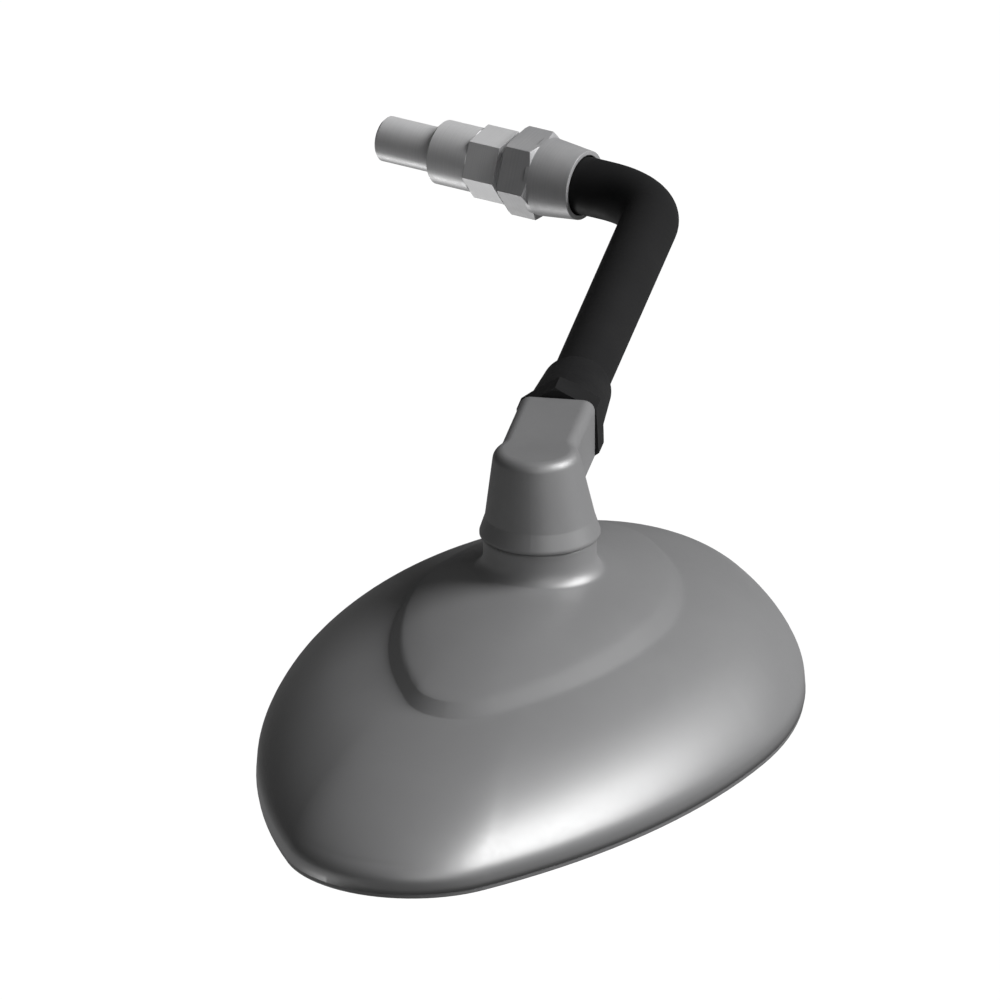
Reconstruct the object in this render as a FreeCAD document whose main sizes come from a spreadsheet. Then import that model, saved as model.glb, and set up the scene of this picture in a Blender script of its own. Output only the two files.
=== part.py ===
import FreeCAD, Part
import math
import os
import Sketcher

# Motorcycle mirror: threaded adapter, bent stem, knuckle and egg shaped head.
# Millimetres. Origin at the stud's seat, +X along the stud axis towards the bend,
# +Z along the neck axis out of the mirror's back, so that the glass faces -Z.

SIZES = {
    # stud adapter
    "stud_radius": 5.0,
    "stud_length": 14.6,
    "stud_chamfer": 0.6,
    "collar_chamfer": 0.35,
    "collar_radius": 7.1,
    "collar_length": 9.8,
    "adapter_flats": 14.0,
    "adapter_hex_length": 7.7,
    "hex_clock": 22.0,
    # thread and pilot that both unions share
    "thread_radius": 6.0,
    "thread_clearance": 0.05,
    "spigot_length": 7.0,
    "pilot_radius": 3.5,
    "pilot_length": 11.0,
    "pilot_clearance": 0.05,
    "pilot_end_gap": 0.8,
    "washer_thickness": 0.8,
    "disc_spring_height": 0.9,
    "disc_spring_sheet": 0.5,
    "tail_flange_radius": 5.65,
    "tail_flange_length": 2.0,
    "tail_neck_radius": 4.4,
    "tail_neck_length": 5.2,
    "tail_shoulder_length": 1.4,
    "tail_barrel_length": 8.0,
    "running_gap": 0.35,
    "nut_web": 2.2,
    "nut_chamfer_angle": 30.0,
    "nut_back_chamfer": 0.6,
    "cut_overlap": 1.0,
    "seal_length": 1.6,
    "seal_depth": 0.45,
    "seal_clearance": 0.06,
    "seal_setback": 0.7,
    "seal_lip_width": 0.6,
    # lower union nut
    "lower_nut_gap": 2.0,
    "lower_nut_flats": 17.0,
    "lower_hex_length": 7.2,
    "lower_skirt_length": 9.4,
    "lower_skirt_base": 8.66,
    "lower_skirt_rim": 7.66,
    # upper union nut
    "upper_nut_gap": 0.5,
    "upper_nut_flats": 17.6,
    "upper_hex_clock": -3.3,
    "upper_hex_length": 7.2,
    "upper_skirt_length": 17.0,
    "upper_skirt_base": 8.75,
    "upper_skirt_rim": 7.7,
    # stem
    "tube_radius": 6.35,
    "tube_wall": 1.5,
    "bend_corner": 55.0,
    "bend_radius": 19.5,
    "arm_turn": 67.9,
    "arm_length": 159.7,
    "neck_offset": 1.1,
    # knuckle
    "knuckle_reach": 28.7,
    "knuckle_half_width": 8.27,
    "knuckle_top": 7.95,
    "knuckle_bottom": 4.9,
    "knuckle_round": 2.5,
    "knuckle_blend": 3.0,
    "thread_root_wall": 0.8,
    "crown_offset": 0.9,
    "cone_top_radius": 9.15,
    "cone_foot_radius": 11.95,
    "cone_foot_drop": 7.4,
    "foot_radius": 13.15,
    "foot_flare_drop": 11.0,
    "foot_drop": 11.6,
    "swivel_stud_radius": 4.0,
    "swivel_stud_top": 3.0,
    "swivel_stud_spare": 0.9,
    "friction_ring_inner": 6.0,
    "friction_ring_outer": 10.4,
    "friction_ring_height": 1.5,
    "foot_gap": 0.3,
    # head outline, an egg of six tangent arcs
    "head_turn": 78.3,
    "head_length": 186.5,
    "head_width": 111.4,
    "head_offset": 0.9,
    "tip_reach": 111.6,
    "tip_radius": 28.0,
    "tip_heading": 36.0,
    "flank_heading": 5.0,
    "end_heading": -45.0,
    # head depths below the arm's axis
    "crown_depth": 18.4,
    "pad_crown": 7.4,
    "pad_rise": 0.2,
    "dome_height": 23.3,
    "band_height": 3.8,
    "band_flare": 0.2,
    "dome_centre": 19.0,
    "shell_wall": 2.2,
    # crowned profiles: rise = (1 - share ^ fullness) ^ roundness
    "dome_fullness": 3.0,
    "dome_roundness": 0.71,
    "dome_sections": 12,
    "dome_top_share": 0.12,
    "pad_fullness": 2.0,
    "pad_roundness": 0.75,
    "pad_sections": 8,
    "pad_top_share": 0.1,
    # raised pad round the neck
    "pad_scale": 0.6,
    "pad_inset": 6.0,
    "pad_skirt": 4.0,
    "pad_spread": 3.4,
    "pad_tilt": 1.5,
    "boss_radius": 12.3,
    "boss_flare": 4.8,
    "boss_sink": 2.2,
    "boss_sweep": 70.0,
    "boss_spread": 4.0,
    # inside of the neck
    "inner_boss_radius": 14.5,
    "stud_glass_gap": 2.0,
    "bush_wall": 1.5,
    "bush_clearance": 0.05,
    "bush_flange_radius": 8.0,
    "bush_flange": 1.2,
    "bush_setback": 0.4,
    "plate_thickness": 2.0,
    "plate_radius": 13.6,
    "screw_circle": 10.6,
    "screw_count": 3,
    "screw_radius": 1.5,
    "screw_length": 6.0,
    "screw_head_radius": 2.6,
    "screw_head_height": 1.8,
    "seat_washer_radius": 7.8,
    "seat_washer_thickness": 1.2,
    "spring_radius": 5.9,
    "spring_wire_width": 1.6,
    "spring_wire_height": 1.3,
    "spring_length": 9.5,
    "spring_turns": 4.0,
    "lock_nut_flats": 13.0,
    "lock_nut_height": 6.5,
    "lock_collar_height": 1.5,
    # glass, gasket and bezel
    "glass_thickness": 2.2,
    "glass_radius": 1400.0,
    "glass_recess": 0.6,
    "gasket_wall": 1.0,
    "gasket_lip": 1.2,
    "gasket_height": 5.05,
    "seat_clearance": 0.1,
    "rim_wall": 3.0,
    "ledge_step": 0.5,
    "bezel_wall": 1.0,
    "bezel_tongue": 3.6,
    "bezel_cover": 0.7,
    "bezel_lip": 1.0,
    "bezel_step": 0.2,
}

# Nearness, in millimetres, at which two points of a shape count as one
TOUCH = 0.01

doc = FreeCAD.newDocument("mirror")
sheet = doc.addObject("Spreadsheet::Sheet", "Dims")
for row, (alias, number) in enumerate(SIZES.items(), 1):
    sheet.set("A%d" % row, alias)
    sheet.set("B%d" % row, str(number))
    sheet.setAlias("B%d" % row, alias)
doc.recompute()


class Size:
    """A length or angle, kept with the sheet formula that gives it."""

    def __init__(self, value, text):
        self.value = value
        self.text = text

    def __add__(self, other):
        other = as_size(other)
        return Size(self.value + other.value, "(%s + %s)" % (self.text, other.text))

    def __sub__(self, other):
        other = as_size(other)
        return Size(self.value - other.value, "(%s - %s)" % (self.text, other.text))

    def __mul__(self, other):
        other = as_size(other)
        return Size(self.value * other.value, "(%s * %s)" % (self.text, other.text))

    def __truediv__(self, other):
        other = as_size(other)
        return Size(self.value / other.value, "(%s / %s)" % (self.text, other.text))

    def __radd__(self, other):
        return as_size(other) + self

    def __rsub__(self, other):
        return as_size(other) - self

    def __rmul__(self, other):
        return as_size(other) * self

    def __neg__(self):
        return Size(-self.value, "(0 - %s)" % self.text)


def as_size(item):
    if isinstance(item, Size):
        return item
    return Size(float(item), repr(float(item)))


def dim(alias):
    return Size(float(sheet.get(alias)), "Dims." + alias)


def sine(angle):
    angle = as_size(angle)
    return Size(math.sin(math.radians(angle.value)), "sin(%s * 1deg)" % angle.text)


def cosine(angle):
    angle = as_size(angle)
    return Size(math.cos(math.radians(angle.value)), "cos(%s * 1deg)" % angle.text)


def tangent(angle):
    angle = as_size(angle)
    return Size(math.tan(math.radians(angle.value)), "tan(%s * 1deg)" % angle.text)


def bind(target, path, value):
    """Give a property its sheet formula."""
    target.setExpression(path, as_size(value).text)


def new_body(label, placement=None):
    body = doc.addObject("PartDesign::Body", label)
    body.Label = label
    body.Placement = placement or FreeCAD.Placement()
    return body


def sketch_on(body, name, role, offset=None):
    """A sketch on one of the body's origin planes, moved along its normal."""
    sketch = body.newObject("Sketcher::SketchObject", name)
    plane = [item for item in body.Origin.OriginFeatures if item.Role == role][0]
    sketch.AttachmentSupport = [(plane, "")]
    sketch.MapMode = "FlatFace"
    if offset is not None:
        bind(sketch, "AttachmentOffset.Base.z", offset)
    return sketch


def pin_point(sketch, geometry, position, x, y):
    """Hold a point at sheet-driven coordinates."""
    for kind, axis, value in (("DistanceX", -2, x), ("DistanceY", -1, y)):
        if value.text == "0.0":
            sketch.addConstraint(Sketcher.Constraint("PointOnObject", geometry, position, axis))
            continue
        index = sketch.addConstraint(
            Sketcher.Constraint(kind, -1, 1, geometry, position, value.value))
        bind(sketch, "Constraints[%d]" % index, value)


def polygon(sketch, corners):
    """A closed outline. A corner is (x, y) or (x, y, radius) where it is rounded."""
    corners = [tuple(as_size(part) for part in corner) for corner in corners]
    points = [FreeCAD.Vector(c[0].value, c[1].value, 0) for c in corners]
    count = len(corners)
    cuts = []
    for i, corner in enumerate(corners):
        if len(corner) < 3:
            cuts.append((points[i], points[i], None))
            continue
        back = (points[i - 1] - points[i]).normalize()
        ahead = (points[(i + 1) % count] - points[i]).normalize()
        half = back.getAngle(ahead) / 2
        reach = corner[2].value / math.tan(half)
        centre = points[i] + (back + ahead).normalize() * (corner[2].value / math.sin(half))
        cuts.append((points[i] + back * reach, points[i] + ahead * reach, centre))
    lines = []
    for i in range(count):
        start, end = cuts[i][1], cuts[(i + 1) % count][0]
        lines.append(sketch.addGeometry(Part.LineSegment(start, end), False))
    for i, corner in enumerate(corners):
        before, after = lines[i - 1], lines[i]
        first, last, centre = cuts[i]
        if centre is None:
            sketch.addConstraint(Sketcher.Constraint("Coincident", before, 2, after, 1))
            pin_point(sketch, after, 1, corner[0], corner[1])
            continue
        round_corner(sketch, corner, before, after, first, last, centre)


def round_corner(sketch, corner, before, after, first, last, centre):
    """A tangent arc between two lines whose virtual corner is held by the sheet."""
    mark = sketch.addGeometry(Part.Point(FreeCAD.Vector(corner[0].value, corner[1].value, 0)), True)
    pin_point(sketch, mark, 1, corner[0], corner[1])
    sketch.addConstraint(Sketcher.Constraint("PointOnObject", mark, 1, before))
    sketch.addConstraint(Sketcher.Constraint("PointOnObject", mark, 1, after))
    angle_first = math.atan2(first.y - centre.y, first.x - centre.x)
    angle_last = math.atan2(last.y - centre.y, last.x - centre.x)
    turn = (angle_last - angle_first) % (2 * math.pi)
    circle = Part.Circle(centre, FreeCAD.Vector(0, 0, 1), corner[2].value)
    if turn < math.pi:
        arc = sketch.addGeometry(Part.ArcOfCircle(circle, angle_first, angle_first + turn), False)
        ends = (1, 2)
    else:
        back_turn = 2 * math.pi - turn
        arc = sketch.addGeometry(Part.ArcOfCircle(circle, angle_last, angle_last + back_turn), False)
        ends = (2, 1)
    sketch.addConstraint(Sketcher.Constraint("Tangent", before, 2, arc, ends[0]))
    sketch.addConstraint(Sketcher.Constraint("Tangent", arc, ends[1], after, 1))
    index = sketch.addConstraint(Sketcher.Constraint("Radius", arc, corner[2].value))
    bind(sketch, "Constraints[%d]" % index, corner[2])


def circle(sketch, radius, x=0, y=0):
    radius, x, y = as_size(radius), as_size(x), as_size(y)
    shape = Part.Circle(FreeCAD.Vector(x.value, y.value, 0), FreeCAD.Vector(0, 0, 1), radius.value)
    index = sketch.addGeometry(shape, False)
    pin_point(sketch, index, 3, x, y)
    held = sketch.addConstraint(Sketcher.Constraint("Radius", index, radius.value))
    bind(sketch, "Constraints[%d]" % held, radius)


def revolve(body, name, axis, corners, cut=False, aside=None):
    """Turn a half profile about the body's X or Z axis, or one moved aside along -Y."""
    sketch = sketch_on(body, name + "_profile", "XZ_Plane", aside)
    polygon(sketch, corners)
    kind = "PartDesign::Groove" if cut else "PartDesign::Revolution"
    feature = body.newObject(kind, name)
    feature.Profile = sketch
    feature.ReferenceAxis = (sketch, ["H_Axis" if axis == "X" else "V_Axis"])
    feature.Angle = 360.0
    return feature


def extrude(body, name, sketch, length, cut=False, back=False):
    feature = body.newObject("PartDesign::Pocket" if cut else "PartDesign::Pad", name)
    feature.Profile = sketch
    bind(feature, "Length", length)
    feature.Reversed = back
    return feature


def hexagon(sketch, flats, clock):
    """Six corners round the origin, the first flat facing the clock angle."""
    reach = flats / 2 / cosine(30)
    corners = []
    for k in range(6):
        angle = clock + 30 + 60 * k
        corners.append((reach * cosine(angle), reach * sine(angle)))
    polygon(sketch, corners)


def turned(label, corners, placement=None, axis="X"):
    """A plain turned piece: one closed half profile."""
    body = new_body(label, placement)
    revolve(body, label + "_turning", axis, corners)
    return body


# Places of the three frames: the stud's, the upper union's and the neck's.
arm_angle = -dim("arm_turn").value
corner_point = FreeCAD.Vector(dim("bend_corner").value, 0, 0)
arm_way = FreeCAD.Vector(math.cos(math.radians(arm_angle)), math.sin(math.radians(arm_angle)), 0)
up = FreeCAD.Vector(0, 0, 1)
arm_end = corner_point + arm_way * (dim("arm_length").value - dim("knuckle_reach").value)
neck_point = arm_end + arm_way * dim("knuckle_reach").value
neck_point += up.cross(arm_way) * dim("neck_offset").value
lower_union = FreeCAD.Placement(
    FreeCAD.Vector(dim("collar_length").value + dim("adapter_hex_length").value, 0, 0),
    FreeCAD.Rotation())
upper_union = FreeCAD.Placement(arm_end, FreeCAD.Rotation(up, arm_angle + 180))
neck_frame = FreeCAD.Placement(neck_point, FreeCAD.Rotation(up, arm_angle))
head_frame = FreeCAD.Placement(neck_point, FreeCAD.Rotation(up, -dim("head_turn").value))

# Stations along a union, from the shoulder that carries the threaded spigot
thread = dim("thread_radius")
spigot_end = dim("spigot_length")
washer_end = spigot_end + dim("washer_thickness")
flange_end = washer_end + dim("tail_flange_length")
web_start = flange_end + dim("disc_spring_height")
web_end = web_start + dim("nut_web")
neck_end = flange_end + dim("tail_neck_length")
shoulder_end = neck_end + dim("tail_shoulder_length")
tube_bore = dim("tube_radius") - dim("tube_wall")


def stud_adapter():
    """Threaded stud, round collar, hexagon and hollow male spigot in one turned piece."""
    body = new_body("stud_adapter")
    shoulder = dim("collar_length") + dim("adapter_hex_length")
    reach = shoulder + spigot_end
    revolve(body, "stud_and_collar", "X", [
        (-dim("stud_length"), 0),
        (-dim("stud_length"), dim("stud_radius") - dim("stud_chamfer")),
        (dim("stud_chamfer") - dim("stud_length"), dim("stud_radius")),
        (0, dim("stud_radius")),
        (0, dim("collar_radius") - dim("collar_chamfer")),
        (dim("collar_chamfer"), dim("collar_radius")),
        (dim("collar_length"), dim("collar_radius")),
        (dim("collar_length"), 0)])
    flats = sketch_on(body, "wrench_hexagon", "YZ_Plane", dim("collar_length"))
    hexagon(flats, dim("adapter_flats"), -dim("hex_clock"))
    extrude(body, "wrench_flats", flats, dim("adapter_hex_length"))
    revolve(body, "male_spigot", "X", [
        (shoulder - dim("cut_overlap"), 0),
        (shoulder - dim("cut_overlap"), thread),
        (reach - dim("stud_chamfer"), thread),
        (reach, thread - dim("stud_chamfer")),
        (reach, 0)])
    bore = sketch_on(body, "pilot_circle", "YZ_Plane", reach)
    circle(bore, dim("pilot_radius") + dim("pilot_clearance"))
    depth = dim("pilot_length") - dim("washer_thickness") + dim("pilot_end_gap")
    extrude(body, "pilot_bore", bore, depth, cut=True)
    return body


def union_nut(prefix, placement, clock):
    """Captive nut: hexagon with a web inside it and a conical skirt over the tube."""
    body = new_body(prefix + "_union_nut", placement)
    start = dim(prefix + "_nut_gap")
    hex_end = start + dim(prefix + "_hex_length")
    rim = hex_end + dim(prefix + "_skirt_length")
    flats = dim(prefix + "_nut_flats")
    outline = sketch_on(body, "hexagon_outline", "YZ_Plane", start)
    hexagon(outline, flats, clock)
    extrude(body, "hexagon_pad", outline, dim(prefix + "_hex_length"))
    corner = flats / 2 / cosine(30)
    slope = tangent(dim("nut_chamfer_angle"))
    spare = dim("cut_overlap")
    revolve(body, "corner_chamfer", "X", [
        (hex_end - (corner - flats / 2) * slope, corner),
        (hex_end - (corner - flats / 2) * slope, corner + spare),
        (hex_end + spare, corner + spare),
        (hex_end + spare, flats / 2 - spare / slope),
    ], cut=True)
    back = corner - dim("nut_back_chamfer")
    revolve(body, "back_chamfer", "X", [
        (start + (corner - back) * slope, corner),
        (start + (corner - back) * slope, corner + spare),
        (start - spare, corner + spare),
        (start - spare, back - spare / slope),
    ], cut=True)
    revolve(body, "skirt", "X", [
        (hex_end - spare, 0),
        (hex_end - spare, dim(prefix + "_skirt_base")),
        (hex_end, dim(prefix + "_skirt_base")),
        (rim, dim(prefix + "_skirt_rim")),
        (rim, 0)])
    sleeve = dim("tube_radius") + dim("running_gap")
    groove_end = rim - dim("seal_setback")
    groove_start = groove_end - dim("seal_length")
    revolve(body, "inside", "X", [
        (start - spare, 0),
        (start - spare, thread + dim("thread_clearance")),
        (web_start, thread + dim("thread_clearance")),
        (web_start, dim("tail_neck_radius") + dim("running_gap")),
        (web_end, dim("tail_neck_radius") + dim("running_gap")),
        (web_end, sleeve),
        (groove_start, sleeve),
        (groove_start, sleeve + dim("seal_depth")),
        (groove_end, sleeve + dim("seal_depth")),
        (groove_end, sleeve),
        (rim + spare, sleeve),
        (rim + spare, 0)], cut=True)
    return body


def dust_seal(prefix, placement):
    """Rubber lip ring in the skirt's groove."""
    sleeve = dim("tube_radius") + dim("running_gap")
    rim = dim(prefix + "_nut_gap") + dim(prefix + "_hex_length") + dim(prefix + "_skirt_length")
    end = rim - dim("seal_setback")
    start = end - dim("seal_length")
    lip = dim("tube_radius") + dim("seal_clearance")
    middle = (start + end) / 2
    return turned(prefix + "_dust_seal", [
        (start, sleeve),
        (start, sleeve + dim("seal_depth")),
        (end, sleeve + dim("seal_depth")),
        (end, sleeve),
        (middle + dim("seal_lip_width") / 2, lip),
        (middle - dim("seal_lip_width") / 2, lip)], placement)


def thrust_washer(prefix, placement):
    inner = dim("pilot_radius") + 2 * dim("pilot_clearance")
    return turned(prefix + "_thrust_washer", [
        (spigot_end, inner),
        (spigot_end, dim("tail_flange_radius")),
        (washer_end, dim("tail_flange_radius")),
        (washer_end, inner)], placement)


def disc_spring(prefix, placement):
    """Coned spring that presses the stem's flange on to the thrust washer."""
    inner = dim("tail_neck_radius") + dim("running_gap") / 2
    outer = dim("tail_flange_radius")
    sheet_thick = dim("disc_spring_sheet")
    return turned(prefix + "_disc_spring", [
        (flange_end, outer),
        (flange_end + sheet_thick, outer),
        (web_start, inner),
        (web_start - sheet_thick, inner)], placement)


def stem_tail(prefix, placement):
    """Turned end of the stem: pilot, flange, neck, shoulder and barrel in the tube."""
    pilot_start = washer_end - dim("pilot_length")
    chamfer = dim("stud_chamfer")
    return turned(prefix + "_stem_tail", [
        (pilot_start, 0),
        (pilot_start, dim("pilot_radius") - chamfer),
        (pilot_start + chamfer, dim("pilot_radius")),
        (washer_end, dim("pilot_radius")),
        (washer_end, dim("tail_flange_radius")),
        (flange_end, dim("tail_flange_radius")),
        (flange_end, dim("tail_neck_radius")),
        (neck_end, dim("tail_neck_radius")),
        (neck_end, dim("tube_radius")),
        (shoulder_end, dim("tube_radius")),
        (shoulder_end, tube_bore),
        (shoulder_end + dim("tail_barrel_length"), tube_bore),
        (shoulder_end + dim("tail_barrel_length"), 0)], placement)


def stem_tube():
    """Steel tube swept along two straight legs and one bend."""
    body = new_body("stem_tube")
    start = dim("collar_length") + dim("adapter_hex_length") + shoulder_end
    turn = dim("arm_turn")
    radius = dim("bend_radius")
    setback = radius * tangent(turn / 2)
    leg = dim("bend_corner") - setback
    reach = dim("arm_length") - dim("knuckle_reach") - shoulder_end
    path = sketch_on(body, "stem_path", "XY_Plane")
    first = path.addGeometry(Part.LineSegment(
        FreeCAD.Vector(start.value, 0, 0), FreeCAD.Vector(leg.value, 0, 0)), False)
    bend = Part.Circle(FreeCAD.Vector(leg.value, -radius.value, 0), up, radius.value)
    quarter = math.pi / 2
    arc = path.addGeometry(Part.ArcOfCircle(
        bend, quarter - math.radians(turn.value), quarter), False)
    ways = [(dim("bend_corner") + along * cosine(turn), -along * sine(turn))
            for along in (setback, reach)]
    ends = [FreeCAD.Vector(x.value, y.value, 0) for x, y in ways]
    second = path.addGeometry(Part.LineSegment(ends[0], ends[1]), False)
    path.addConstraint(Sketcher.Constraint("Coincident", first, 2, arc, 2))
    path.addConstraint(Sketcher.Constraint("Coincident", arc, 1, second, 1))
    pin_point(path, first, 1, start, as_size(0))
    pin_point(path, first, 2, leg, as_size(0))
    pin_point(path, second, 1, ways[0][0], ways[0][1])
    pin_point(path, second, 2, ways[1][0], ways[1][1])
    held = path.addConstraint(Sketcher.Constraint("Radius", arc, radius.value))
    bind(path, "Constraints[%d]" % held, radius)
    ring = sketch_on(body, "tube_section", "YZ_Plane", start)
    circle(ring, dim("tube_radius"))
    circle(ring, tube_bore)
    doc.recompute()
    pipe = body.newObject("PartDesign::AdditivePipe", "tube_sweep")
    pipe.Profile = ring
    pipe.Spine = path
    pipe.Mode = "Standard"
    return body


def edge_names(feature, fits):
    """Names of the edges whose middle point and ends pass a test."""
    names = []
    for index, edge in enumerate(feature.Shape.Edges, 1):
        middle = edge.valueAt((edge.FirstParameter + edge.LastParameter) / 2)
        if fits(middle, [vertex.Point for vertex in edge.Vertexes]):
            names.append("Edge%d" % index)
    return names


def fillet(body, name, feature, edges, radius):
    rounded = body.newObject("PartDesign::Fillet", name)
    rounded.Base = (feature, edges)
    bind(rounded, "Radius", radius)
    return rounded


def knuckle():
    """Cast elbow: square arm, leaning coned neck and a threaded spigot with its pilot bore."""
    body = new_body("knuckle", neck_frame)
    half_width = dim("knuckle_half_width")
    top, bottom = dim("knuckle_top"), dim("knuckle_bottom")
    reach, beside = dim("knuckle_reach"), dim("neck_offset")
    section = sketch_on(body, "arm_section", "YZ_Plane", -reach)
    polygon(section, [
        (-half_width - beside, -bottom),
        (half_width - beside, -bottom),
        (half_width - beside, top),
        (-half_width - beside, top)])
    extrude(body, "arm", section, reach)
    crown = sketch_on(body, "neck_crown", "XY_Plane", top)
    circle(crown, dim("cone_top_radius"), 0, -dim("crown_offset"))
    waist = sketch_on(body, "neck_waist", "XY_Plane", -dim("cone_foot_drop"))
    circle(waist, dim("cone_foot_radius"))
    cone = body.newObject("PartDesign::AdditiveLoft", "neck_cone")
    cone.Profile = crown
    cone.Sections = [waist]
    cone.Ruled = True
    doc.recompute()
    sides = (-(half_width + beside).value, (half_width - beside).value)
    level = top.value

    def at_blend(middle, ends):
        upright = abs(ends[0].z - ends[-1].z) > top.value
        beside_arm = min(abs(middle.y - side) for side in sides) < TOUCH
        return upright and beside_arm and middle.x > -reach.value / 2

    def on_top(middle, ends):
        flat = all(abs(point.z - level) < TOUCH for point in ends + [middle])
        return flat and middle.x > TOUCH - reach.value

    blended = fillet(body, "side_blend", cone, edge_names(cone, at_blend), dim("knuckle_blend"))
    doc.recompute()
    fillet(body, "top_round", blended, edge_names(blended, on_top), dim("knuckle_round"))
    revolve(body, "foot", "Z", [
        (0, -dim("cone_foot_drop")),
        (dim("cone_foot_radius"), -dim("cone_foot_drop")),
        (dim("foot_radius"), -dim("foot_flare_drop")),
        (dim("foot_radius"), -dim("foot_drop")),
        (0, -dim("foot_drop"))])
    root = thread + dim("thread_root_wall")
    chamfer = dim("stud_chamfer")
    revolve(body, "spigot", "X", [
        (0, 0),
        (0, root),
        (-reach, root),
        (-reach, thread),
        (chamfer - reach - spigot_end, thread),
        (-reach - spigot_end, thread - chamfer),
        (-reach - spigot_end, 0)], aside=beside)
    bore = sketch_on(body, "pilot_circle", "YZ_Plane", -reach - spigot_end)
    circle(bore, dim("pilot_radius") + dim("pilot_clearance"), -beside)
    depth = dim("pilot_length") - dim("washer_thickness") + dim("pilot_end_gap")
    extrude(body, "pilot_bore", bore, depth, cut=True, back=True)
    ring_seat = dim("foot_drop") + dim("foot_gap") - dim("friction_ring_height")
    revolve(body, "ring_recess", "Z", [
        (0, -ring_seat),
        (dim("friction_ring_outer"), -ring_seat),
        (dim("friction_ring_outer"), -dim("foot_drop") - dim("cut_overlap")),
        (0, -dim("foot_drop") - dim("cut_overlap"))], cut=True)
    revolve(body, "stud_hole", "Z", [
        (0, dim("swivel_stud_top")),
        (dim("swivel_stud_radius"), dim("swivel_stud_top")),
        (dim("swivel_stud_radius"), -dim("foot_drop")),
        (0, -dim("foot_drop"))], cut=True)
    return body


# Depths of the head below the arm's axis: pad edge, crease under the dome, rim and glass
pad_edge = dim("crown_depth") + dim("pad_crown")
crease = pad_edge + dim("pad_rise") + dim("dome_height")
head_rim = crease + dim("band_height")
glass_back = head_rim - dim("glass_recess") - dim("glass_thickness")


def neck_stations():
    """Depths of the stack on the swivel stud, upwards from its end above the glass."""
    stud_end = glass_back - dim("stud_glass_gap")
    nut = stud_end - dim("swivel_stud_spare") - dim("lock_nut_height")
    lower_washer = nut - dim("seat_washer_thickness")
    spring = lower_washer - dim("spring_length")
    washer = spring - dim("seat_washer_thickness")
    plate = washer - dim("plate_thickness")
    return plate, washer, spring, lower_washer, nut, stud_end


boss_top = dim("foot_drop") + dim("foot_gap")
plate_top, washer_top, spring_top, lower_washer_top, nut_top, stud_end = neck_stations()


def swivel_stud():
    radius, chamfer = dim("swivel_stud_radius"), dim("stud_chamfer")
    return turned("swivel_stud", [
        (0, dim("swivel_stud_top")),
        (radius, dim("swivel_stud_top")),
        (radius, chamfer - stud_end),
        (radius - chamfer, -stud_end),
        (0, -stud_end)], neck_frame, "Z")


def ring(label, inner, outer, top, thickness, placement):
    return turned(label, [
        (inner, -top),
        (outer, -top),
        (outer, -top - thickness),
        (inner, -top - thickness)], placement, "Z")


def swivel_spring():
    """Flat wire coil between the two seat washers."""
    body = new_body("swivel_spring", neck_frame)
    half_wide, wire_height = dim("spring_wire_width") / 2, dim("spring_wire_height")
    inner, outer = dim("spring_radius") - half_wide, dim("spring_radius") + half_wide
    foot = -spring_top - dim("spring_length")
    section = sketch_on(body, "wire_section", "XZ_Plane")
    polygon(section, [
        (inner, foot),
        (outer, foot),
        (outer, foot + wire_height),
        (inner, foot + wire_height)])
    coil = body.newObject("PartDesign::AdditiveHelix", "coil")
    coil.Profile = section
    coil.ReferenceAxis = (section, ["V_Axis"])
    coil.Mode = "height-turns-angle"
    bind(coil, "Height", dim("spring_length") - wire_height)
    bind(coil, "Turns", dim("spring_turns"))
    return body


def swivel_lock_nut():
    """Hexagon nut with a round locking collar."""
    body = new_body("swivel_lock_nut", neck_frame)
    flats, height = dim("lock_nut_flats"), dim("lock_nut_height")
    collar, bevel = dim("lock_collar_height"), dim("stud_chamfer")
    outline = sketch_on(body, "hexagon_outline", "XY_Plane", -nut_top - height + collar)
    hexagon(outline, flats, as_size(0))
    extrude(body, "hexagon_pad", outline, height - collar)
    revolve(body, "locking_collar", "Z", [
        (0, -nut_top),
        (flats / 2 - bevel, -nut_top),
        (flats / 2 - bevel, bevel - nut_top - height),
        (flats / 2 - 2 * bevel, -nut_top - height),
        (0, -nut_top - height)])
    bore = sketch_on(body, "thread_circle", "XY_Plane", -nut_top)
    circle(bore, dim("swivel_stud_radius") + dim("thread_clearance"))
    extrude(body, "thread_bore", bore, height + dim("cut_overlap"), cut=True)
    return body


def swivel_bush():
    """Flanged plain bearing, pressed into the head from inside."""
    inner = dim("swivel_stud_radius") + dim("bush_clearance")
    outer = inner + dim("bush_wall")
    return turned("swivel_bush", [
        (inner, -boss_top - dim("bush_setback")),
        (outer, -boss_top - dim("bush_setback")),
        (outer, dim("bush_flange") - plate_top),
        (dim("bush_flange_radius"), dim("bush_flange") - plate_top),
        (dim("bush_flange_radius"), -plate_top),
        (inner, -plate_top)], head_frame, "Z")


def reinforcing_plate():
    """Steel disc that spreads the spring's load on the moulded boss."""
    body = new_body("reinforcing_plate", head_frame)
    outline = sketch_on(body, "disc_outline", "XY_Plane", -plate_top - dim("plate_thickness"))
    circle(outline, dim("plate_radius"))
    circle(outline, dim("swivel_stud_radius") + dim("running_gap"))
    disc = extrude(body, "disc", outline, dim("plate_thickness"))
    holes = sketch_on(body, "first_hole", "XY_Plane", -plate_top)
    circle(holes, dim("screw_radius") + dim("thread_clearance"), dim("screw_circle"))
    hole = extrude(body, "screw_hole", holes, dim("plate_thickness"), cut=True)
    repeat_round(body, hole)
    return body


def repeat_round(body, feature):
    """Copy a feature round the neck axis, once for each screw."""
    pattern = body.newObject("PartDesign::PolarPattern", feature.Name + "_ring")
    pattern.Originals = [feature]
    axis = [item for item in body.Origin.OriginFeatures if item.Role == "Z_Axis"][0]
    pattern.Axis = (axis, [""])
    pattern.Angle = 360.0
    bind(pattern, "Occurrences", dim("screw_count"))
    body.Tip = pattern
    return pattern


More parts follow.
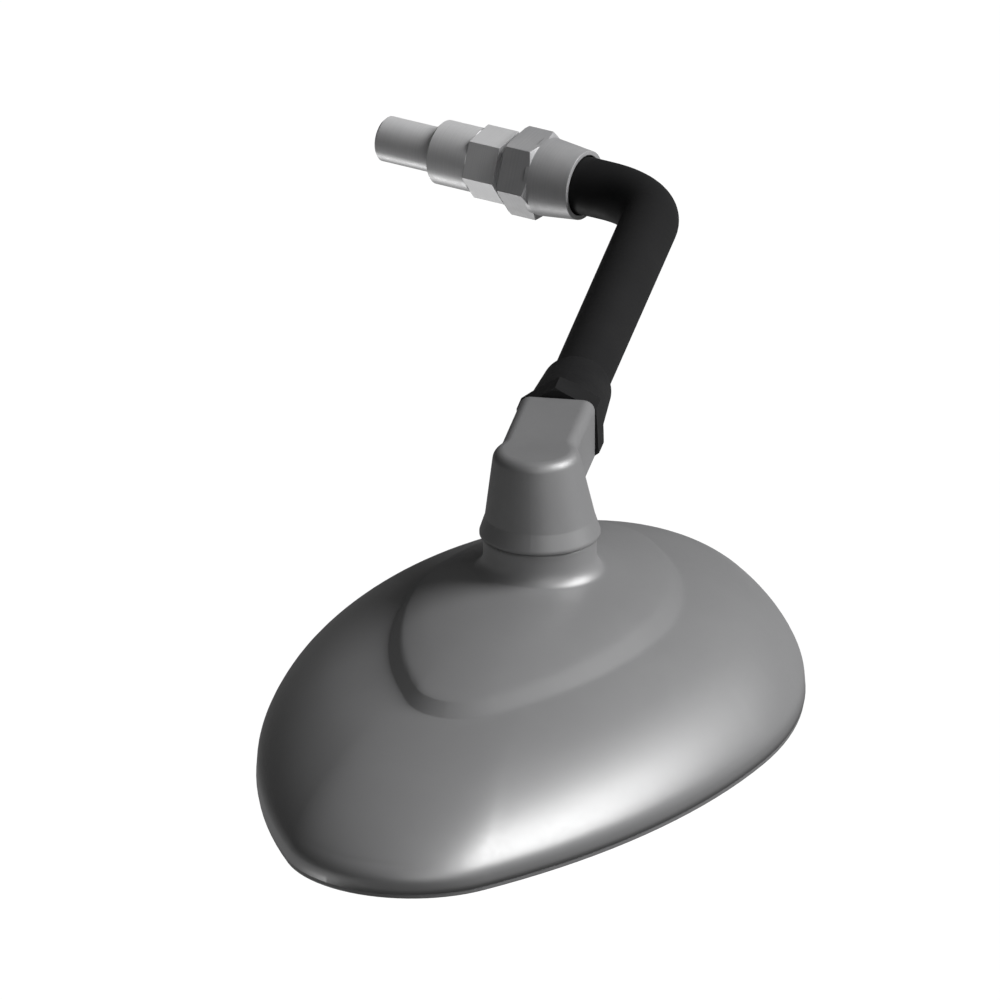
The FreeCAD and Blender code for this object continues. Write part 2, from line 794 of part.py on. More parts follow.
def plate_screws():
    """Three pan head screws, as one group."""
    body = new_body("plate_screws", head_frame)
    body.AllowCompound = True
    head_top = plate_top + dim("plate_thickness")
    head = sketch_on(body, "head_circle", "XY_Plane", -head_top)
    circle(head, dim("screw_head_radius"), dim("screw_circle"))
    heads = extrude(body, "screw_head", head, dim("screw_head_height"), back=True)
    shank = sketch_on(body, "shank_circle", "XY_Plane", -head_top)
    circle(shank, dim("screw_radius"), dim("screw_circle"))
    shanks = extrude(body, "screw_shank", shank, dim("screw_length"))
    doc.recompute()
    pattern = repeat_round(body, shanks)
    pattern.Originals = [heads, shanks]
    return body


def egg_radii():
    """Arc radii that close the egg for its length, width, tip radius and headings."""
    tip, low, end = (math.radians(dim(name).value)
                     for name in ("tip_heading", "flank_heading", "end_heading"))
    half = dim("head_width").value / 2
    nose = dim("tip_radius").value
    low_row = (math.cos(low) - math.cos(tip), 1 - math.cos(low), half - nose * math.cos(tip))
    # big end radius = base - slope * upper flank radius
    base = half / math.cos(end)
    slope = (1 - math.cos(end)) / math.cos(end)
    length = dim("head_length").value - nose * (1 - math.sin(tip)) - base * (1 + math.sin(end))
    mix = math.sin(low) - math.sin(end) - slope * (1 + math.sin(end))
    drop = math.sin(tip) - math.sin(low)
    upper = (length * low_row[0] - drop * low_row[2]) / (mix * low_row[0] - drop * low_row[1])
    lower = (low_row[2] - upper * low_row[1]) / low_row[0]
    return nose, lower, upper, base - slope * upper


def egg_wire(depth, scale=1.0, inset=0.0, centre=0.0, aside=None):
    """The head's outline at a depth, scaled about a point of its axis, then moved in."""
    aside = dim("head_offset").value if aside is None else aside
    headings = [math.pi / 2] + [math.radians(dim(name).value)
                                for name in ("tip_heading", "flank_heading", "end_heading")]
    headings.append(-math.pi / 2)
    radii = [radius * scale - inset for radius in egg_radii()]
    x = centre + scale * (dim("tip_reach").value - centre) - inset
    y = 0.0
    pieces = []
    for i, radius in enumerate(radii):
        start, stop = headings[i], headings[i + 1]
        marks = []
        for part in (0.0, 0.5, 1.0):
            angle = start + (stop - start) * part
            marks.append((x - radius * (math.sin(start) - math.sin(angle)),
                          y + radius * (math.cos(angle) - math.cos(start))))
        pieces.append(marks)
        x, y = marks[-1]
    edges = [Part.Arc(*[FreeCAD.Vector(px, aside + py, -depth) for px, py in marks]).toShape()
             for marks in pieces]
    for marks in reversed(pieces):
        mirror = [FreeCAD.Vector(px, aside - py, -depth) for px, py in reversed(marks)]
        edges.append(Part.Arc(*mirror).toShape())
    return Part.Wire(edges)


def egg_slab(top, bottom, inset, scale=1.0):
    """A flat egg between two depths."""
    return Part.Face(egg_wire(bottom, scale, inset)).extrude(FreeCAD.Vector(0, 0, bottom - top))


def egg_loft(sections):
    return Part.makeLoft([egg_wire(*section) for section in sections], True, False)


def add_shape(label, shape, placement):
    item = doc.addObject("Part::Feature", label)
    item.Label = label
    item.Shape = shape
    item.Placement = placement
    return item


def crown_sections(part, edge, height):
    """Outline shares with their depths, closest together at the rounded edge."""
    count, last = int(dim(part + "_sections").value), dim(part + "_top_share").value
    fullness, roundness = dim(part + "_fullness").value, dim(part + "_roundness").value
    shares = [1 - (1 - last) * (k / count) ** 2 for k in range(count + 1)]
    return [(share, edge - height * (1 - share ** fullness) ** roundness) for share in shares]


def dome(wall):
    inset = dim("band_flare").value + wall
    return egg_loft([(depth + wall, share, inset, -dim("dome_centre").value)
                     for share, depth in
                     crown_sections("dome", crease.value, dim("dome_height").value)])


def pad(wall):
    """The raised pad with a sloping edge below its crown, tilted towards the tip."""
    scale, inset = dim("pad_scale").value, dim("pad_inset").value + wall
    crown = egg_loft([(depth + wall, scale * share, inset * share)
                      for share, depth in
                      crown_sections("pad", pad_edge.value, dim("pad_crown").value)])
    edge = pad_edge.value + wall
    skirt = egg_loft([(edge, scale, inset),
                      (edge + dim("pad_skirt").value, scale, inset - dim("pad_spread").value)])
    solid = crown.fuse(skirt)
    middle = FreeCAD.Vector(0, 0, -dim("crown_depth").value)
    solid.rotate(middle, FreeCAD.Vector(0, 1, 0), dim("pad_tilt").value)
    return solid


def neck_boss():
    """Round boss that flares down on to the pad."""
    radius, flare = dim("boss_radius").value, dim("boss_flare").value
    top = boss_top.value
    sweep = math.radians(dim("boss_sweep").value)
    start = boss_foot.value - flare * math.sin(sweep)

    def on_flare(turn):
        return (radius + flare * (1 - math.cos(turn)), start + flare * math.sin(turn))

    foot = on_flare(sweep)
    spread = dim("boss_spread").value
    outline = [(0, top), (radius, top), (radius, start), foot,
               (foot[0] + spread * math.sin(sweep), foot[1] + spread * math.cos(sweep)),
               (0, foot[1] + spread * math.cos(sweep))]
    points = [FreeCAD.Vector(x, 0, -z) for x, z in outline]
    middle = on_flare(sweep / 2)
    edges = [Part.LineSegment(points[0], points[1]).toShape(),
             Part.LineSegment(points[1], points[2]).toShape(),
             Part.Arc(points[2], FreeCAD.Vector(middle[0], 0, -middle[1]), points[3]).toShape()]
    for i in (3, 4, 5):
        edges.append(Part.LineSegment(points[i], points[(i + 1) % 6]).toShape())
    face = Part.Face(Part.Wire(edges))
    return face.revolve(FreeCAD.Vector(0, 0, 0), up, 360)


def column(radius, top, bottom, x=0.0, y=0.0):
    return Part.makeCylinder(radius, bottom - top, FreeCAD.Vector(x, y, -bottom))


rim_depth = head_rim.value
boss_foot = dim("crown_depth") + dim("boss_sink")
overlap = dim("cut_overlap").value
lip_top = rim_depth - dim("bezel_lip").value
gasket_top = lip_top - dim("gasket_height").value

# How far in from the outline the rim's seats lie
fit_gap = dim("seat_clearance").value
inner_wall_inset = dim("rim_wall").value
gasket_inset = inner_wall_inset + fit_gap + dim("bezel_wall").value + fit_gap
glass_inset = gasket_inset + dim("gasket_wall").value
window_inset = glass_inset + dim("gasket_lip").value


def head_shell():
    """Moulded housing: dome, raised pad, neck boss and the stepped rim for the glass."""
    wall = dim("shell_wall").value
    ledge = gasket_top - fit_gap
    band = egg_loft([(crease.value, 1.0, dim("band_flare").value), (lip_top, 1.0, 0.0)])
    outer = dome(0.0).fuse([band, pad(0.0), neck_boss()])
    window = egg_slab(boss_top.value, ledge, window_inset + dim("ledge_step").value)
    hollow = dome(wall).fuse(pad(wall)).common(window)
    shell = outer.cut(hollow.fuse(egg_slab(ledge, rim_depth, inner_wall_inset)))
    inner_boss = column(dim("inner_boss_radius").value, boss_foot.value, plate_top.value)
    shell = shell.fuse(inner_boss)
    bush = dim("swivel_stud_radius") + dim("bush_clearance") + dim("bush_wall")
    cuts = [column(bush.value, boss_top.value - overlap, plate_top.value + overlap),
            column(dim("bush_flange_radius").value,
                   plate_top.value - dim("bush_flange").value, plate_top.value + overlap)]
    for k in range(int(dim("screw_count").value)):
        angle = 2 * math.pi * k / dim("screw_count").value
        depth = dim("screw_length").value - dim("plate_thickness").value
        cuts.append(column(dim("screw_radius").value, plate_top.value - depth, plate_top.value + overlap,
                           dim("screw_circle").value * math.cos(angle),
                           dim("screw_circle").value * math.sin(angle)))
    shell = shell.cut(cuts).removeSplitter()
    return add_shape("head_shell", shell, head_frame)


def glass_body():
    """Convex glass: an egg prism between two spheres."""
    middle = dim("tip_reach").value - dim("head_length").value / 2
    radius, depth = dim("glass_radius").value, rim_depth - dim("glass_recess").value
    thick = dim("glass_thickness").value
    centre = FreeCAD.Vector(middle, 0, radius - depth)
    slab = egg_slab(gasket_top, depth + overlap, glass_inset)
    front = Part.makeSphere(radius, centre)
    back = Part.makeSphere(radius - thick, centre)
    return slab.common(front).cut(back)


def mirror_glass():
    return add_shape("mirror_glass", glass_body(), head_frame)


def glass_gasket():
    """Rubber channel round the glass edge."""
    channel = egg_slab(gasket_top, lip_top, gasket_inset)
    channel = channel.cut(egg_slab(gasket_top - overlap, lip_top + overlap, window_inset))
    return add_shape("glass_gasket", channel.cut(glass_body()), head_frame)


def glass_bezel():
    """Trim ring: a flat lip below the rim and a tongue that snaps inside the shell's wall."""
    step, outer_inset = dim("bezel_step").value, inner_wall_inset + fit_gap
    lip = egg_slab(lip_top, rim_depth, step)
    tongue = egg_slab(lip_top - dim("bezel_tongue").value, lip_top, outer_inset)
    ring = lip.fuse(tongue)
    bore = egg_slab(gasket_top - overlap, lip_top, outer_inset + dim("bezel_wall").value)
    window = egg_slab(gasket_top - overlap, rim_depth + overlap, glass_inset + dim("bezel_cover").value)
    return add_shape("glass_bezel", ring.cut([bore, window]), head_frame)


facing = -dim("hex_clock")
parts = [
    stud_adapter(),
    union_nut("lower", lower_union, facing),
    thrust_washer("lower", lower_union),
    disc_spring("lower", lower_union),
    dust_seal("lower", lower_union),
    stem_tail("lower", lower_union),
    stem_tube(),
    stem_tail("upper", upper_union),
    union_nut("upper", upper_union, dim("upper_hex_clock")),
    thrust_washer("upper", upper_union),
    disc_spring("upper", upper_union),
    dust_seal("upper", upper_union),
    knuckle(),
    swivel_stud(),
    ring("swivel_friction_ring", dim("friction_ring_inner"), dim("friction_ring_outer"),
         boss_top - dim("friction_ring_height"), dim("friction_ring_height"), neck_frame),
    ring("upper_seat_washer", dim("swivel_stud_radius") + dim("thread_clearance"),
         dim("seat_washer_radius"), washer_top, dim("seat_washer_thickness"), neck_frame),
    swivel_spring(),
    ring("lower_seat_washer", dim("swivel_stud_radius") + dim("thread_clearance"),
         dim("seat_washer_radius"), lower_washer_top, dim("seat_washer_thickness"), neck_frame),
    swivel_lock_nut(),
    swivel_bush(),
    reinforcing_plate(),
    plate_screws(),
    head_shell(),
    mirror_glass(),
    glass_gasket(),
    glass_bezel(),
]
doc.recompute()

faults = [item.Name + " " + ",".join(item.State) for item in doc.Objects
          if "Invalid" in item.State or "Error" in item.State]
for item in parts:
    if item.Shape.isNull() or not item.Shape.isValid():
        faults.append(item.Label + " has no valid shape")
if faults:
    raise SystemExit("; ".join(faults))

os.makedirs("parts", exist_ok=True)
for item in parts:
    item.Shape.exportStep("parts/%s.step" % item.Label)
    print("%-22s solids %d volume %.1f" % (item.Label, len(item.Shape.Solids), item.Shape.Volume))
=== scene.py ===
import math
import bpy
from mathutils import Matrix, Vector

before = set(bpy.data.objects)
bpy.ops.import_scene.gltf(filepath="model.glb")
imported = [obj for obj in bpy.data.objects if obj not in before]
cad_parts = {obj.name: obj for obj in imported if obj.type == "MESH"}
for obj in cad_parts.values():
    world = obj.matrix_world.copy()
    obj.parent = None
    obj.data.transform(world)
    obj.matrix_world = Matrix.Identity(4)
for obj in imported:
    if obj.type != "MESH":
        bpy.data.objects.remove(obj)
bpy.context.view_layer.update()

MILLIMETRE = 0.001

# View of the photograph: an orthographic camera, azimuth and elevation in degrees,
# the width of the picture and the point at its middle in metres.
AZIMUTH = 31.75
ELEVATION = 22.6
PICTURE_WIDTH = 0.21645
MIDDLE_RIGHT = 0.01243
MIDDLE_UP = -0.0754
CAMERA_DISTANCE = 1.2
CLIP_START = 0.01
CLIP_END = 20.0

# Lamps: the way to each as seen from the camera (to the right, towards the camera and up),
# its strength and its angle in degrees. The low lamp draws the pale lines along the
# undersides of the stud and the rim.
LAMPS = {
    "key": ((0.76, 0.06, 0.645), 3.6, 40.0),
    "front": ((0.34, 0.82, 0.46), 0.54, 50.0),
    "low": ((-0.46, -0.19, -0.86), 0.9, 20.0),
}

# The floor lies below every place that the head reaches as it turns.
FLOOR_LEVEL = -0.32
FLOOR_SIZE = 8.0
FLOOR_COLOUR = 0.10

# Brightness of the floor and the backdrop for each kind of ray.
FLOOR_SEEN = 0.94
FLOOR_GLOSSY = 0.16
WORLD_SEEN = 1.0
WORLD_DIFFUSE = 0.035
WORLD_GLOSSY = 0.06
MIRRORED = 0.62

# Axes of the turned pieces and directions of the head, at rest, in metres.
STUD_WAY = (1.0, 0.0, 0.0)
ARM_WAY = (0.37622, -0.92653, 0.0)
DOWN = (0.0, 0.0, -1.0)
ORIGIN = (0.0, 0.0, 0.0)
ARM_START = (0.055, 0.0, 0.0)
NECK = (0.11610, -0.14755, 0.0)
HEAD_WAY = (0.2028, -0.9792, 0.0)
HEAD_SIDE = (0.9792, 0.2028, 0.0)
DOME_MIDDLE = (0.11313, -0.12877, 0.0)

# Shading of the head. The step round the raised pad is eased: the normals lean by a share
# towards a plain dome that tilts by so much for each millimetre along and across the head,
# above a level and outside the neck's foot.
DOME_BENDS = (0.0035, 0.0125)
EASED_SHARE = 0.72
EASED_LEVELS = (-36.0, -31.0)
NECK_FOOT = (15.5, 20.5)
# The low band turns under between two levels, by a downward lean.
UNDER_LEVELS = (-46.8, -52.8)
UNDER_LEAN = 0.5

# Detail of the finishes.
NOISE_LOW = 0.3
NOISE_HIGH = 0.7
FINE_GRAIN = 1.3
RUB_GAIN = 6.0
RUB_PATCHES = 0.8
RING_SHADES = (0.93, 1.05)
GLASS_HAZE = 22.0
GLASS_FILM = 30.0


def view_axes():
    turn, rise = math.radians(AZIMUTH), math.radians(ELEVATION)
    right = Vector((math.cos(turn), math.sin(turn), 0))
    away = Vector((-math.sin(turn), math.cos(turn), 0))
    look = away * math.cos(rise) - Vector((0, 0, math.sin(rise)))
    up = away * math.sin(rise) + Vector((0, 0, math.cos(rise)))
    return right, up, look, away


def make_camera():
    right, up, look, away = view_axes()
    data = bpy.data.cameras.new("camera")
    data.type = "ORTHO"
    data.ortho_scale = PICTURE_WIDTH
    data.clip_start = CLIP_START
    data.clip_end = CLIP_END
    camera = bpy.data.objects.new("camera", data)
    bpy.context.collection.objects.link(camera)
    middle = right * MIDDLE_RIGHT + up * MIDDLE_UP
    turn = Matrix((right, up, -look)).transposed()
    camera.matrix_world = Matrix.Translation(middle - look * CAMERA_DISTANCE) @ turn.to_4x4()
    bpy.context.scene.camera = camera


def make_lamp(name, way, strength, angle):
    """A distant soft lamp that shines from a direction given in the view's own axes."""
    right, up, look, away = view_axes()
    source = right * way[0] - away * way[1] + Vector((0, 0, way[2]))
    data = bpy.data.lights.new(name, "SUN")
    data.energy = strength
    data.angle = math.radians(angle)
    lamp = bpy.data.objects.new(name, data)
    bpy.context.collection.objects.link(lamp)
    lamp.rotation_euler = source.to_track_quat("Z", "Y").to_euler()
    lamp.location = source


class Graph:
    """Short way to write a node tree. A value is a number, a tuple or another node's output."""

    def __init__(self, tree):
        self.tree = tree
        self.tree.nodes.clear()

    def node(self, kind, **settings):
        item = self.tree.nodes.new(kind)
        for key, value in settings.items():
            setattr(item, key, value)
        return item

    def feed(self, value, socket):
        if isinstance(value, (int, float, tuple)):
            socket.default_value = value
        else:
            self.tree.links.new(value, socket)

    def math(self, operation, *values):
        item = self.node("ShaderNodeMath", operation=operation)
        for value, socket in zip(values, item.inputs):
            self.feed(value, socket)
        return item.outputs[0]

    def vector(self, operation, *values):
        item = self.node("ShaderNodeVectorMath", operation=operation)
        for value, socket in zip(values, item.inputs):
            self.feed(value, socket)
        return item.outputs["Value" if operation in ("DOT_PRODUCT", "DISTANCE") else "Vector"]

    def scaled(self, direction, factor):
        item = self.node("ShaderNodeVectorMath", operation="SCALE")
        self.feed(direction, item.inputs[0])
        self.feed(factor, item.inputs["Scale"])
        return item.outputs["Vector"]

    def noise(self, place, size, detail=3.0, roughness=0.5):
        """Cloudy noise whose blobs are about the given size in millimetres."""
        item = self.node("ShaderNodeTexNoise")
        item.inputs["Scale"].default_value = 1.0 / (size * MILLIMETRE)
        item.inputs["Detail"].default_value = detail
        item.inputs["Roughness"].default_value = roughness
        self.feed(place, item.inputs["Vector"])
        return item.outputs["Fac"]

    def spread(self, noise, low, high):
        """Noise stretched to a range."""
        item = self.node("ShaderNodeMapRange")
        item.inputs["From Min"].default_value = NOISE_LOW
        item.inputs["From Max"].default_value = NOISE_HIGH
        item.inputs["To Min"].default_value = low
        item.inputs["To Max"].default_value = high
        self.feed(noise, item.inputs["Value"])
        return item.outputs["Result"]

    def ramp(self, value, marks):
        """Nought at the first mark and one at the second, both in millimetres."""
        item = self.node("ShaderNodeMapRange", interpolation_type="SMOOTHSTEP")
        item.inputs["From Min"].default_value = marks[0] * MILLIMETRE
        item.inputs["From Max"].default_value = marks[1] * MILLIMETRE
        self.feed(value, item.inputs["Value"])
        return item.outputs["Result"]

    def mix(self, factor, first, second, blend_type="MIX"):
        """Mixture of two colours."""
        item = self.node("ShaderNodeMix", data_type="RGBA", blend_type=blend_type)
        self.feed(factor, item.inputs[0])
        for index, value in ((6, first), (7, second)):
            self.feed((*value, 1.0) if isinstance(value, tuple) else value, item.inputs[index])
        return item.outputs[2]

    def mix_directions(self, factor, first, second):
        item = self.node("ShaderNodeMix", data_type="VECTOR")
        for index, value in ((0, factor), (4, first), (5, second)):
            self.feed(value, item.inputs[index])
        return item.outputs[1]

    def along(self, place, axis, origin):
        """Distance in metres along an axis from a point of it."""
        return self.vector("DOT_PRODUCT", self.vector("SUBTRACT", place, origin), axis)

    def height(self, place):
        parts = self.node("ShaderNodeSeparateXYZ")
        self.feed(place, parts.inputs[0])
        return parts.outputs["Z"]

    def with_pose(self, direction):
        """A direction of the piece at rest, turned with the piece in a pose."""
        item = self.node("ShaderNodeVectorTransform", vector_type="VECTOR",
                         convert_from="OBJECT", convert_to="WORLD")
        self.feed(direction, item.inputs[0])
        return item.outputs[0]

    def bump(self, relief, depth, normal=None):
        """Relief of a given depth in millimetres."""
        item = self.node("ShaderNodeBump")
        item.inputs["Strength"].default_value = 1.0
        item.inputs["Distance"].default_value = depth * MILLIMETRE
        self.feed(relief, item.inputs["Height"])
        if normal is not None:
            self.feed(normal, item.inputs["Normal"])
        return item.outputs["Normal"]

    def rounded(self, radius, samples=4):
        """Normal of the surface with its edges rounded off by a radius in millimetres."""
        bevel = self.node("ShaderNodeBevel", samples=samples)
        bevel.inputs["Radius"].default_value = radius * MILLIMETRE
        return bevel.outputs["Normal"]

    def edges(self, radius):
        """One along sharp edges and nought on flat faces."""
        flat = self.node("ShaderNodeNewGeometry").outputs["Normal"]
        return self.math("SUBTRACT", 1.0, self.vector("DOT_PRODUCT", self.rounded(radius), flat))


def start_material(name):
    material = bpy.data.materials.new(name)
    material.use_nodes = True
    graph = Graph(material.node_tree)
    place = graph.node("ShaderNodeTexCoord").outputs["Object"]
    shader = graph.node("ShaderNodeBsdfPrincipled")
    output = graph.node("ShaderNodeOutputMaterial")
    graph.feed(shader.outputs[0], output.inputs["Surface"])
    return material, graph, place, shader


def surface(name, colour, second, metal=0.0, rough=(0.4, 0.5), specular=0.5, ior=1.5,
            cloud=12.0, grain=None, lathe=None, wear=None, soft=None, head=False, coat=0.0):
    """One finish. Sizes in millimetres: cloud is the patches' size, grain (size, depth)
    the moulded or cast relief, lathe (axis, origin, pitch, depth) the turned rings,
    wear (radius, colour, share) the rubbed edges, soft (radius, samples) the rounding of
    edges and corners. head adds the head's own shading."""
    material, graph, place, shader = start_material(name)
    shader.inputs["Metallic"].default_value = metal
    shader.inputs["Specular IOR Level"].default_value = specular
    shader.inputs["IOR"].default_value = ior
    shader.inputs["Coat Weight"].default_value = coat
    patches = graph.noise(place, cloud, 4.0, 0.55)
    base = graph.mix(graph.spread(patches, 0.0, 1.0), colour, second)
    roughness = graph.spread(graph.noise(place, FINE_GRAIN, 3.0, 0.6), *rough)
    normal = graph.rounded(*soft) if soft else None
    if head:
        normal = turned_under(graph, place, eased_step(graph, place, normal))
    if grain:
        size, depth = grain
        normal = graph.bump(graph.noise(place, size, 2.0, 0.6), depth, normal)
    if lathe:
        normal, base = turned_rings(graph, place, lathe, normal, base)
    if wear:
        base = rubbed_edges(graph, place, wear, base)
    graph.feed(base, shader.inputs["Base Color"])
    graph.feed(roughness, shader.inputs["Roughness"])
    if normal is not None:
        graph.feed(normal, shader.inputs["Normal"])
    return material


def eased_step(graph, place, normal):
    """Softens the step between the head's raised pad and the dome."""
    tilts = []
    for way, bend in zip((HEAD_WAY, HEAD_SIDE), DOME_BENDS):
        offset = graph.along(place, way, DOME_MIDDLE)
        tilts.append(graph.scaled(way, graph.math("MULTIPLY", offset, bend / MILLIMETRE)))
    plain = graph.vector("ADD", graph.vector("ADD", *tilts), (0.0, 0.0, 1.0))
    dome = graph.with_pose(graph.vector("NORMALIZE", plain))
    high = graph.ramp(graph.height(place), EASED_LEVELS)
    flat = graph.vector("MULTIPLY", place, (1.0, 1.0, 0.0))
    clear = graph.ramp(graph.vector("DISTANCE", flat, NECK), NECK_FOOT)
    share = graph.math("MULTIPLY", graph.math("MULTIPLY", high, clear), EASED_SHARE)
    return graph.mix_directions(share, normal, dome)


def turned_under(graph, place, normal):
    """Turns the head's low band under towards its edge, as a rounded lip."""
    lean = graph.math("MULTIPLY", graph.ramp(graph.height(place), UNDER_LEVELS), -UNDER_LEAN)
    fall = graph.node("ShaderNodeCombineXYZ")
    graph.feed(lean, fall.inputs["Z"])
    both = graph.vector("ADD", normal, graph.with_pose(fall.outputs[0]))
    return graph.vector("NORMALIZE", both)


def turned_rings(graph, place, lathe, normal, base):
    """Fine rings that a cutting tool leaves round an axis, uneven in depth."""
    axis, origin, pitch, depth = lathe
    station = graph.along(place, axis, origin)
    line = graph.node("ShaderNodeCombineXYZ")
    graph.feed(graph.math("MULTIPLY", station, 1.0 / (pitch * MILLIMETRE)), line.inputs[0])
    rings = graph.node("ShaderNodeTexNoise")
    rings.inputs["Scale"].default_value = 1.0
    rings.inputs["Detail"].default_value = 3.0
    graph.feed(line.outputs[0], rings.inputs["Vector"])
    normal = graph.bump(rings.outputs["Fac"], depth, normal)
    shade = graph.spread(rings.outputs["Fac"], *RING_SHADES)
    return normal, graph.mix(1.0, base, shade, "MULTIPLY")


def rubbed_edges(graph, place, wear, base):
    """Broken lighter lines where handling has rubbed the finish off the edges."""
    radius, colour, share = wear
    rubbed = graph.math("MULTIPLY", graph.edges(radius), RUB_GAIN)
    broken = graph.spread(graph.noise(place, RUB_PATCHES, 4.0, 0.7), 0.0, 1.0)
    amount = graph.math("MULTIPLY", graph.math("MULTIPLY", rubbed, broken), share)
    return graph.mix(graph.math("MINIMUM", amount, 1.0), base, colour)


def make_mirror():
    """Silvered glass, perfectly sharp, with the faint haze of handling."""
    material, graph, place, shader = start_material("silvered_glass")
    shader.inputs["Metallic"].default_value = 1.0
    shader.inputs["Roughness"].default_value = 0.0
    shader.inputs["Coat Weight"].default_value = 0.3
    haze = graph.spread(graph.noise(place, GLASS_HAZE, 4.0, 0.6), 0.0, 1.0)
    graph.feed(graph.mix(haze, (0.86, 0.88, 0.89), (0.80, 0.83, 0.85)), shader.inputs["Base Color"])
    film = graph.spread(graph.noise(place, GLASS_FILM, 5.0, 0.65), 0.1, 0.4)
    graph.feed(film, shader.inputs["Coat Roughness"])
    return material


def brightness(graph, seen, other, glossy):
    """Brightness for the camera, for the rays that light the object, for soft reflections
    and for the sharp mirror."""
    path = graph.node("ShaderNodeLightPath").outputs
    direct = graph.math("MULTIPLY_ADD", path["Is Camera Ray"], seen - other, other)
    mirrored = graph.math("MAXIMUM", path["Is Glossy Ray"], path["Is Transmission Ray"])
    soft = graph.math("MULTIPLY_ADD", mirrored, glossy - other, direct)
    return graph.math("MULTIPLY_ADD", path["Is Singular Ray"], MIRRORED - glossy, soft)


def make_floor():
    size = FLOOR_SIZE / 2
    mesh = bpy.data.meshes.new("floor")
    corners = [(-size, -size), (size, -size), (size, size), (-size, size)]
    mesh.from_pydata([(x, y, FLOOR_LEVEL) for x, y in corners], [], [(0, 1, 2, 3)])
    floor = bpy.data.objects.new("floor", mesh)
    bpy.context.collection.objects.link(floor)
    material = bpy.data.materials.new("pale_floor")
    material.use_nodes = True
    graph = Graph(material.node_tree)
    matt = graph.node("ShaderNodeBsdfDiffuse")
    matt.inputs["Color"].default_value = (FLOOR_COLOUR, FLOOR_COLOUR, FLOOR_COLOUR, 1.0)
    glow = graph.node("ShaderNodeEmission")
    graph.feed(brightness(graph, FLOOR_SEEN, 0.0, FLOOR_GLOSSY), glow.inputs["Strength"])
    both = graph.node("ShaderNodeAddShader")
    graph.feed(matt.outputs[0], both.inputs[0])
    graph.feed(glow.outputs[0], both.inputs[1])
    # seen from below it is clear, so that it never hides the object
    sided = graph.node("ShaderNodeMixShader")
    graph.feed(graph.node("ShaderNodeNewGeometry").outputs["Backfacing"], sided.inputs[0])
    graph.feed(both.outputs[0], sided.inputs[1])
    graph.feed(graph.node("ShaderNodeBsdfTransparent").outputs[0], sided.inputs[2])
    graph.feed(sided.outputs[0], graph.node("ShaderNodeOutputMaterial").inputs["Surface"])
    mesh.materials.append(material)
    # the low lamp shines through the floor, which still takes the object's shadow
    floor.visible_shadow = False


def make_world():
    world = bpy.data.worlds.new("studio")
    bpy.context.scene.world = world
    world.use_nodes = True
    graph = Graph(world.node_tree)
    backdrop = graph.node("ShaderNodeBackground")
    backdrop.inputs["Color"].default_value = (1.0, 1.0, 1.0, 1.0)
    graph.feed(brightness(graph, WORLD_SEEN, WORLD_DIFFUSE, WORLD_GLOSSY),
               backdrop.inputs["Strength"])
    graph.feed(backdrop.outputs[0], graph.node("ShaderNodeOutputWorld").inputs["Surface"])


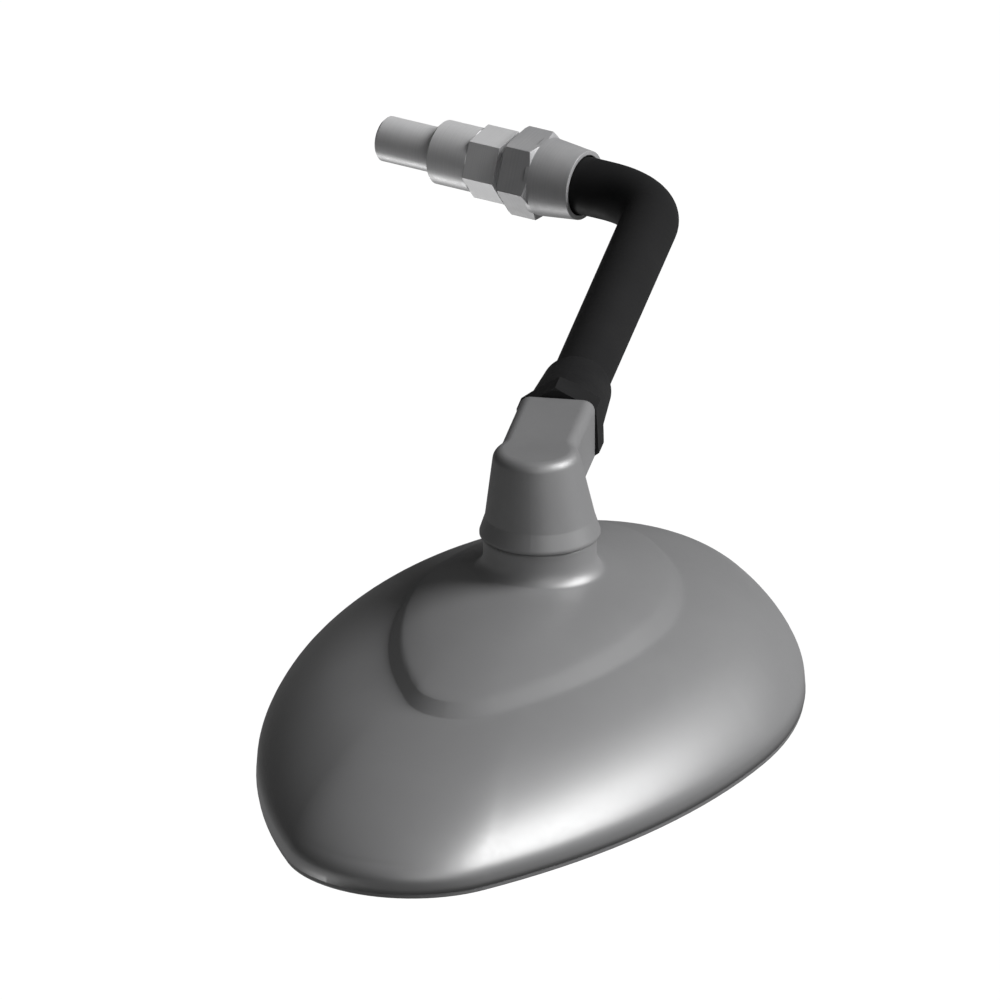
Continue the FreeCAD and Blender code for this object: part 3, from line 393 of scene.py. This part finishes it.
finishes = {
    "head": surface("satin_grey_plastic", (0.227, 0.227, 0.231), (0.215, 0.215, 0.219),
                    rough=(0.42, 0.46), specular=1.0, ior=1.75, cloud=18.0,
                    grain=(0.35, 0.003), soft=(2.0, 8), head=True),
    "bezel": surface("trim_plastic", (0.18, 0.18, 0.183), (0.165, 0.165, 0.168),
                     rough=(0.28, 0.36), specular=1.0, cloud=9.0, grain=(0.3, 0.003),
                     soft=(0.45, 6)),
    "knuckle": surface("painted_casting", (0.222, 0.222, 0.226), (0.205, 0.205, 0.209),
                       rough=(0.42, 0.48), specular=1.0, ior=1.7, cloud=10.0,
                       grain=(0.9, 0.008), soft=(0.6, 6)),
    "stem": surface("black_lacquer", (0.020, 0.020, 0.0205), (0.017, 0.017, 0.0175),
                    rough=(0.52, 0.58), specular=0.05, cloud=25.0, grain=(0.5, 0.003)),
    "black_nut": surface("black_oxide", (0.020, 0.020, 0.0205), (0.016, 0.016, 0.0165),
                         rough=(0.50, 0.60), specular=0.08, cloud=7.0, grain=(0.6, 0.006),
                         wear=(0.3, (0.045, 0.045, 0.046), 0.6)),
    "adapter": surface("satin_zinc", (0.72, 0.72, 0.725), (0.67, 0.67, 0.68), metal=0.1,
                       rough=(0.38, 0.46), specular=0.8, cloud=6.0, grain=(0.5, 0.004),
                       lathe=(STUD_WAY, ORIGIN, 0.25, 0.002), soft=(0.15, 6)),
    "bright_nut": surface("zinc_nut", (0.44, 0.44, 0.445), (0.39, 0.39, 0.40), metal=0.1,
                          rough=(0.38, 0.48), specular=0.8, cloud=6.0, grain=(0.6, 0.006),
                          lathe=(STUD_WAY, ORIGIN, 0.4, 0.003), soft=(0.3, 6)),
    "stem_steel": surface("turned_steel", (0.55, 0.56, 0.58), (0.48, 0.49, 0.51), metal=1.0,
                          rough=(0.25, 0.38), cloud=5.0, lathe=(STUD_WAY, ORIGIN, 0.3, 0.004)),
    "arm_steel": surface("turned_steel_arm", (0.55, 0.56, 0.58), (0.48, 0.49, 0.51), metal=1.0,
                         rough=(0.25, 0.38), cloud=5.0, lathe=(ARM_WAY, ARM_START, 0.3, 0.004)),
    "neck_steel": surface("plated_steel", (0.56, 0.57, 0.58), (0.49, 0.50, 0.52), metal=1.0,
                          rough=(0.25, 0.4), cloud=5.0, lathe=(DOWN, NECK, 0.3, 0.004)),
    "screws": surface("screw_steel", (0.5, 0.5, 0.51), (0.4, 0.4, 0.42), metal=1.0,
                      rough=(0.3, 0.45), cloud=2.0, grain=(0.3, 0.01)),
    "spring": surface("oiled_spring", (0.20, 0.20, 0.21), (0.13, 0.12, 0.12), metal=1.0,
                      rough=(0.25, 0.45), cloud=3.0, grain=(0.4, 0.008), coat=0.2),
    "rubber": surface("seal_rubber", (0.022, 0.022, 0.022), (0.034, 0.033, 0.032),
                      rough=(0.65, 0.85), specular=0.3, cloud=4.0, grain=(0.25, 0.02)),
    "slide": surface("slide_plastic", (0.72, 0.70, 0.64), (0.64, 0.62, 0.56),
                     rough=(0.4, 0.55), cloud=4.0, grain=(0.4, 0.008)),
    "bronze": surface("oiled_bronze", (0.58, 0.38, 0.17), (0.42, 0.27, 0.12), metal=1.0,
                      rough=(0.3, 0.5), cloud=2.5, grain=(0.25, 0.01)),
    "mirror": make_mirror(),
}

wearers = {
    "head": ["head_shell"],
    "bezel": ["glass_bezel"],
    "knuckle": ["knuckle"],
    "stem": ["stem_tube"],
    "black_nut": ["upper_union_nut"],
    "adapter": ["stud_adapter"],
    "bright_nut": ["lower_union_nut"],
    "stem_steel": ["lower_stem_tail", "lower_thrust_washer"],
    "arm_steel": ["upper_stem_tail", "upper_thrust_washer"],
    "neck_steel": ["swivel_stud", "upper_seat_washer", "lower_seat_washer", "swivel_lock_nut",
                   "reinforcing_plate"],
    "screws": ["plate_screws"],
    "spring": ["swivel_spring", "lower_disc_spring", "upper_disc_spring"],
    "rubber": ["glass_gasket", "lower_dust_seal", "upper_dust_seal"],
    "slide": ["swivel_friction_ring"],
    "bronze": ["swivel_bush"],
    "mirror": ["mirror_glass"],
}
for finish, nodes in wearers.items():
    for node in nodes:
        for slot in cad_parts[node].material_slots:
            slot.material = finishes[finish]

make_camera()
for name, (way, strength, angle) in LAMPS.items():
    make_lamp(name, way, strength, angle)
make_floor()
make_world()
bpy.context.scene.view_settings.view_transform = "Standard"
